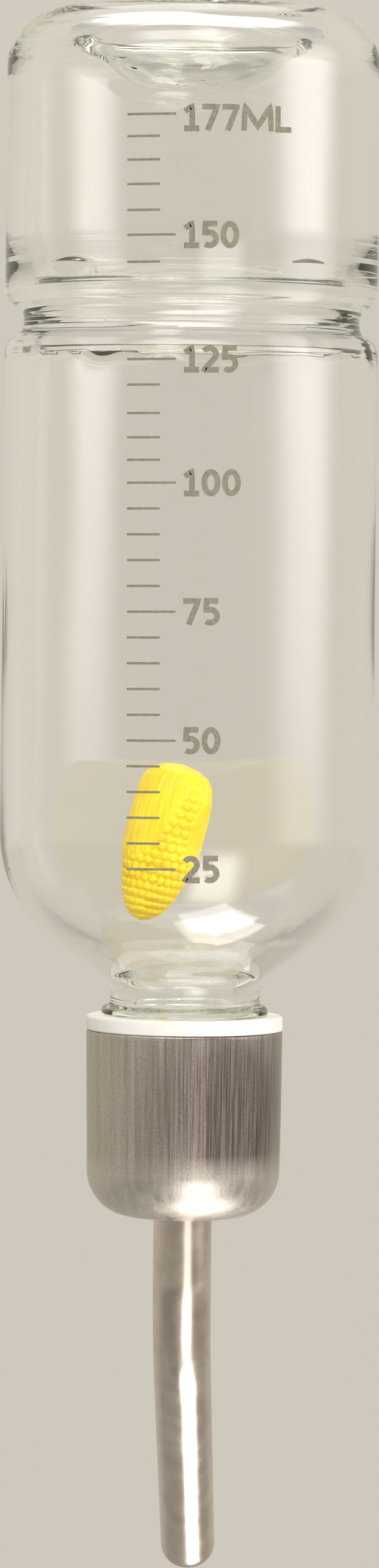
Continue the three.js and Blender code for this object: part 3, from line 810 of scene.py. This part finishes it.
# %% Tube: mesh
def tube_profile():
    """The wall's closed line, with minus the distance along the tube as its height."""
    tip = -(tube_length - TIP_ROUND)
    centre = TIP_R - TIP_ROUND
    bore = TUBE_R - TUBE_WALL
    outer_end = math.degrees(math.acos((MOUTH_R - centre) / TIP_ROUND))
    inner_end = math.degrees(math.acos((MOUTH_R - centre) / (TIP_ROUND - TUBE_WALL)))
    return refined(np.concatenate([
        arc(centre, tip, TIP_ROUND, -outer_end, 0, 18),
        [[TUBE_R, -bend_at], [TUBE_R, -FLARE - 0.05], [TUBE_R + 0.05, -FLARE], [FLARE_R - 0.1, -FLARE]],
        arc(FLARE_R - 0.3, -0.3, 0.3, 0, 90, 6),
        arc(bore + 0.3, -0.3, 0.3, 90, 180, 6),
        [[bore, -bend_at]],
        arc(centre, tip, TIP_ROUND - TUBE_WALL, 0, -inner_end, 14),
    ]), 0.7)


mouth_edge = tube_length - TIP_ROUND + math.sqrt((TIP_ROUND - TUBE_WALL) ** 2 - (MOUTH_R - TIP_R + TIP_ROUND) ** 2)
BALL_R, BALL_TRAVEL, DENT_GAP = 2.9, 2.5, 2.6
DENT_ANGLES, DENT_R = np.radians([55, 125]), 0.85
lower_ball = mouth_edge - math.sqrt((BALL_R + 0.1) ** 2 - MOUTH_R**2)
upper_ball = lower_ball - 2 * BALL_R - 0.05
dent_at = upper_ball - BALL_TRAVEL - DENT_GAP


def tube_swell(a, r, z):
    """Two round dents, pushed in from outside and standing proud inside, and a tube that is a hair out of round."""
    dents = 0
    for where in DENT_ANGLES:
        away = np.hypot(angle_gap(a, where) * TUBE_R, z + dent_at)
        dents = dents + bell(away, DENT_R)
    inside = r < TUBE_R - TUBE_WALL / 2
    drawn = 0.008 * np.sin(2 * a + z / 9) * (~inside) * (z < -FLARE - 1)
    return np.where(inside, 0.95, -0.5) * dents + drawn


satin = finish_named("tube_steel", metallic=1.0)
haze = grain(satin, (350, 350, 350), detail=5)
hair = grain(satin, (6000, 6000, 6000), detail=2)
scratch = grain(satin, (1500, 1500, 1500), detail=1, distortion=0.6)
tone = steps_of(satin, haze, (0.3, (0.57, 0.5, 0.44)), (0.7, (0.69, 0.62, 0.56)))
to_shader(satin, "Base Color", mixed(satin, ranged(satin, scratch, 0.76, 0.8, 0.0, 0.3), tone, (0.85, 0.82, 0.78)))
to_shader(satin, "Roughness", ranged(satin, haze, 0.3, 0.7, 0.22, 0.29))
bumped(satin, hair, 0.0000015)

tube_line = tube_profile()
TUBE_SIDES = 96
straight = turned(tube_line, TUBE_SIDES, tube_swell)
tube_grid = along_path(straight[..., 0], straight[..., 1], -straight[..., 2])
piece_of(
    "spout_tube",
    [(tube_grid, grid_faces(len(tube_line), TUBE_SIDES, wrap_rows=True))],
    satin, "tube", ["drinking_tube"],
)

# %% [markdown]
# ## Valve balls
#
# Two polished steel balls close the tube's mouth. A ball is the plainest surface of two parameters, latitude and
# longitude. Their bearing-ball finish only needs a trace of fine scuffing.

# %% Valve balls
polished = finish_named("ball_steel", metallic=1.0)
scuff = grain(polished, (1500, 1500, 1500), detail=4)
to_shader(polished, "Base Color", steps_of(polished, scuff, (0.3, (0.66, 0.66, 0.67)), (0.7, (0.76, 0.76, 0.77))))
to_shader(polished, "Roughness", ranged(polished, scuff, 0.35, 0.7, 0.06, 0.16))

BALL_RINGS, BALL_SIDES = 33, 64
latitude = np.linspace(-np.pi / 2, np.pi / 2, BALL_RINGS)
ball_line = np.stack([BALL_R * np.cos(latitude), BALL_R * np.sin(latitude)], axis=1)
ball_line[[0, -1], 0] = 0
for name, node, body, at in (
    ("ball_at_mouth", "valve_ball_lower", "ball_lower", lower_ball),
    ("ball_above", "valve_ball_upper", "ball_upper", upper_ball),
):
    centre = along_path(np.array(0.0), np.array(0.0), np.array(at))
    ball_grid = turned(ball_line, BALL_SIDES) + centre
    cells = grid_faces(BALL_RINGS, BALL_SIDES)
    piece_of(name, [(ball_grid, cells)], polished, body, [node])

# %% [markdown]
# ## Studio
#
# Clear glass shows its surroundings twice, bent and mirrored, so the studio is part of the look. The floor curves up
# into a pale wall on every side, so no view has an edge behind the glass. The wall glows by itself, a little less in
# front and on the front right, because that is what makes the steel's dark bands. A softbox low on the right draws
# the hot spots on the shoulder, the cap's corner and the tube. A sheet on the right lights that side of the glass,
# one lying low in front draws the tube's long highlight, a wide one above in front is the main light, and one
# above and behind fills the back. A lamp's light fades towards its edges, because the glass would show a hard edge.

# %% Floor and wall
FLOOR_Z, FLOOR_R, COVE_R, WALL_TOP = -2600, 4300, 1100, 5000
BOWL_SIDES = 96
bowl_line = np.concatenate([
    [[0, FLOOR_Z]],
    np.stack([np.linspace(100, FLOOR_R, 12), np.full(12, FLOOR_Z)], axis=1),
    arc(FLOOR_R, FLOOR_Z + COVE_R, COVE_R, -90, 0, 24),
    [[FLOOR_R + COVE_R, WALL_TOP]],
])
bowl_grid = turned(bowl_line, BOWL_SIDES) * MM
bowl_cells = grid_faces(len(bowl_line), BOWL_SIDES)[:, ::-1]
bowl_mesh = bpy.data.meshes.new("studio_floor")
bowl_mesh.from_pydata(bowl_grid.reshape(-1, 3).tolist(), [], bowl_cells.tolist())
bowl_mesh.shade_smooth()
studio_floor = bpy.data.objects.new("studio_floor", bowl_mesh)
pale = finish_named("studio_pale", base_color=(0.07, 0.068, 0.062, 1), roughness=0.9)
from_origin = add_node(pale, "ShaderNodeTexCoord").outputs["Object"]
heading = add_node(pale, "ShaderNodeVectorMath", {0: from_origin}, operation="NORMALIZE")
toward = add_node(pale, "ShaderNodeSeparateXYZ", {"Vector": heading.outputs["Vector"]}).outputs
to_front = add_node(pale, "ShaderNodeMath", {0: toward["Y"], 1: -1.0}, operation="MULTIPLY").outputs["Value"]
bearing = add_node(pale, "ShaderNodeMath", {0: toward["X"], 1: to_front}, operation="ARCTAN2").outputs["Value"]
bearing = ranged(pale, bearing, -math.pi, math.pi, 0.0, 1.0)
WARM = np.array([1.0, 0.94, 0.82])


def round_the_wall(*levels):
    """A warm grey for each bearing, from (degrees, level) pairs: 0 is the camera's side, 90 the right."""
    return steps_of(pale, bearing, *[((degrees + 180) / 360, tuple(WARM * level)) for degrees, level in levels])


wall_glow = round_the_wall(
    (-180, 0.57), (-125, 0.66), (-85, 0.66), (-35, 0.5), (-8, 0.38), (14, 0.3),
    (34, 0.24), (74, 0.27), (104, 0.5), (135, 0.6), (180, 0.57),
)
table_glow = round_the_wall(
    (-180, 0.57), (-120, 0.55), (-95, 0.42), (-75, 0.3), (-32, 0.28), (-12, 0.4),
    (20, 0.45), (44, 0.38), (70, 0.34), (100, 0.42), (130, 0.55), (180, 0.57),
)
glow = mixed(pale, ranged(pale, toward["Z"], -0.14, -0.1, 1.0, 0.0), wall_glow, table_glow)
under = mixed(pale, ranged(pale, toward["Y"], -0.3, -0.05, 0.0, 1.0), table_glow, tuple(WARM * 0.38))
glow = mixed(pale, ranged(pale, toward["Z"], -0.6, -0.35, 1.0, 0.0), glow, under)
glow = mixed(pale, ranged(pale, toward["Z"], 0.04, 0.2, 0.0, 1.0), glow, tuple(WARM * 0.64))
to_shader(pale, "Emission Color", glow)
pale.node_tree.nodes["Principled BSDF"].inputs["Emission Strength"].default_value = 1.0
bowl_mesh.materials.append(pale)
bpy.context.scene.collection.objects.link(studio_floor)
print("studio bowl:", len(bowl_mesh.polygons), "faces")

# %% Lights
def soft_edges(tree, core):
    """A strength that is 1 in a lamp's core and falls to 0 at its rim: along each side the distance to the nearer
    edge, as a smooth step, and the two sides multiplied."""
    split = tree.nodes.new("ShaderNodeSeparateXYZ")
    tree.links.new(tree.nodes.new("ShaderNodeNewGeometry").outputs["Parametric"], split.inputs[0])
    both = tree.nodes.new("ShaderNodeMath")
    both.operation = "MULTIPLY"
    for axis, socket in zip("XY", both.inputs):
        fade = tree.nodes.new("ShaderNodeMath")
        fade.operation, fade.inputs[1].default_value = "PINGPONG", 0.5
        tree.links.new(split.outputs[axis], fade.inputs[0])
        soft = tree.nodes.new("ShaderNodeMapRange")
        soft.interpolation_type = "SMOOTHSTEP"
        soft.inputs["From Max"].default_value = 0.5 - core
        tree.links.new(fade.outputs["Value"], soft.inputs["Value"])
        tree.links.new(soft.outputs["Result"], socket)
    return both.outputs["Value"]


def softbox(name, place, size, radiance, look_at=(0, 0, -60), core=0.2, turn_deg=0):
    """A lamp, places and sizes in millimetres, whose light fades from a core (a share of its width) to its rim.
    Its power is radiance times pi times its area."""
    data = bpy.data.lights.new(name, "AREA")
    data.shape, data.size, data.size_y = "RECTANGLE", size[0] * MM, size[1] * MM
    data.energy = radiance * math.pi * data.size * data.size_y
    data.color = (1, 0.97, 0.93)
    data.use_nodes = True
    tree = data.node_tree
    tree.links.new(soft_edges(tree, core), tree.nodes["Emission"].inputs["Strength"])
    lamp = bpy.data.objects.new(name, data)
    lamp.location = [v * MM for v in place]
    aim = (np.array(look_at) - place) * MM
    lamp.rotation_euler = Vector(aim).to_track_quat("-Z", "Y").to_euler()
    lamp.rotation_euler.rotate_axis("Z", math.radians(turn_deg))
    lamp.visible_camera = False
    bpy.context.scene.collection.objects.link(lamp)
    print(f"lamp {name}: {data.energy:.2f} W")


softbox("low", (95, -35, -420), (240, 220), 5.2, look_at=(120, -35, 0), core=0.4, turn_deg=18)
softbox("table", (150, -385, -365), (340, 560), 4.2, look_at=(0, 0, -135), core=0.2)
softbox("sheet", (680, -170, 120), (760, 640), 4.0, look_at=(0, 0, 120), core=0.08)
softbox("key", (-60, -620, 560), (1100, 420), 6.5)
softbox("overhead", (0, 350, 800), (900, 700), 2.0)

world = bpy.data.worlds.new("studio_world")
world.use_nodes = True
world.node_tree.nodes["Background"].inputs["Color"].default_value = (1.0, 0.965, 0.91, 1)
world.node_tree.nodes["Background"].inputs["Strength"].default_value = 0.5
bpy.context.scene.world = world

# %% [markdown]
# ## Film
#
# A ray that crosses the bottle meets two walls of glass, which is four surfaces, and inside a thick wall it can be
# mirrored many times more. So it is given plenty of bounces, because a ray that runs out of them leaves a dark spot.
# The view transform is the plain one, which shows the colours as they were mixed.

# %% Film
GLASS_BOUNCES, STEEL_BOUNCES = 48, 12
scene = bpy.context.scene
scene.view_settings.view_transform = "Standard"
scene.cycles.max_bounces = GLASS_BOUNCES
scene.cycles.transmission_bounces = GLASS_BOUNCES
scene.cycles.glossy_bounces = STEEL_BOUNCES
scene.cycles.sample_clamp_indirect = 6
scene.cycles.use_denoising = True
print("bounces:", GLASS_BOUNCES, "in glass,", STEEL_BOUNCES, "on steel")
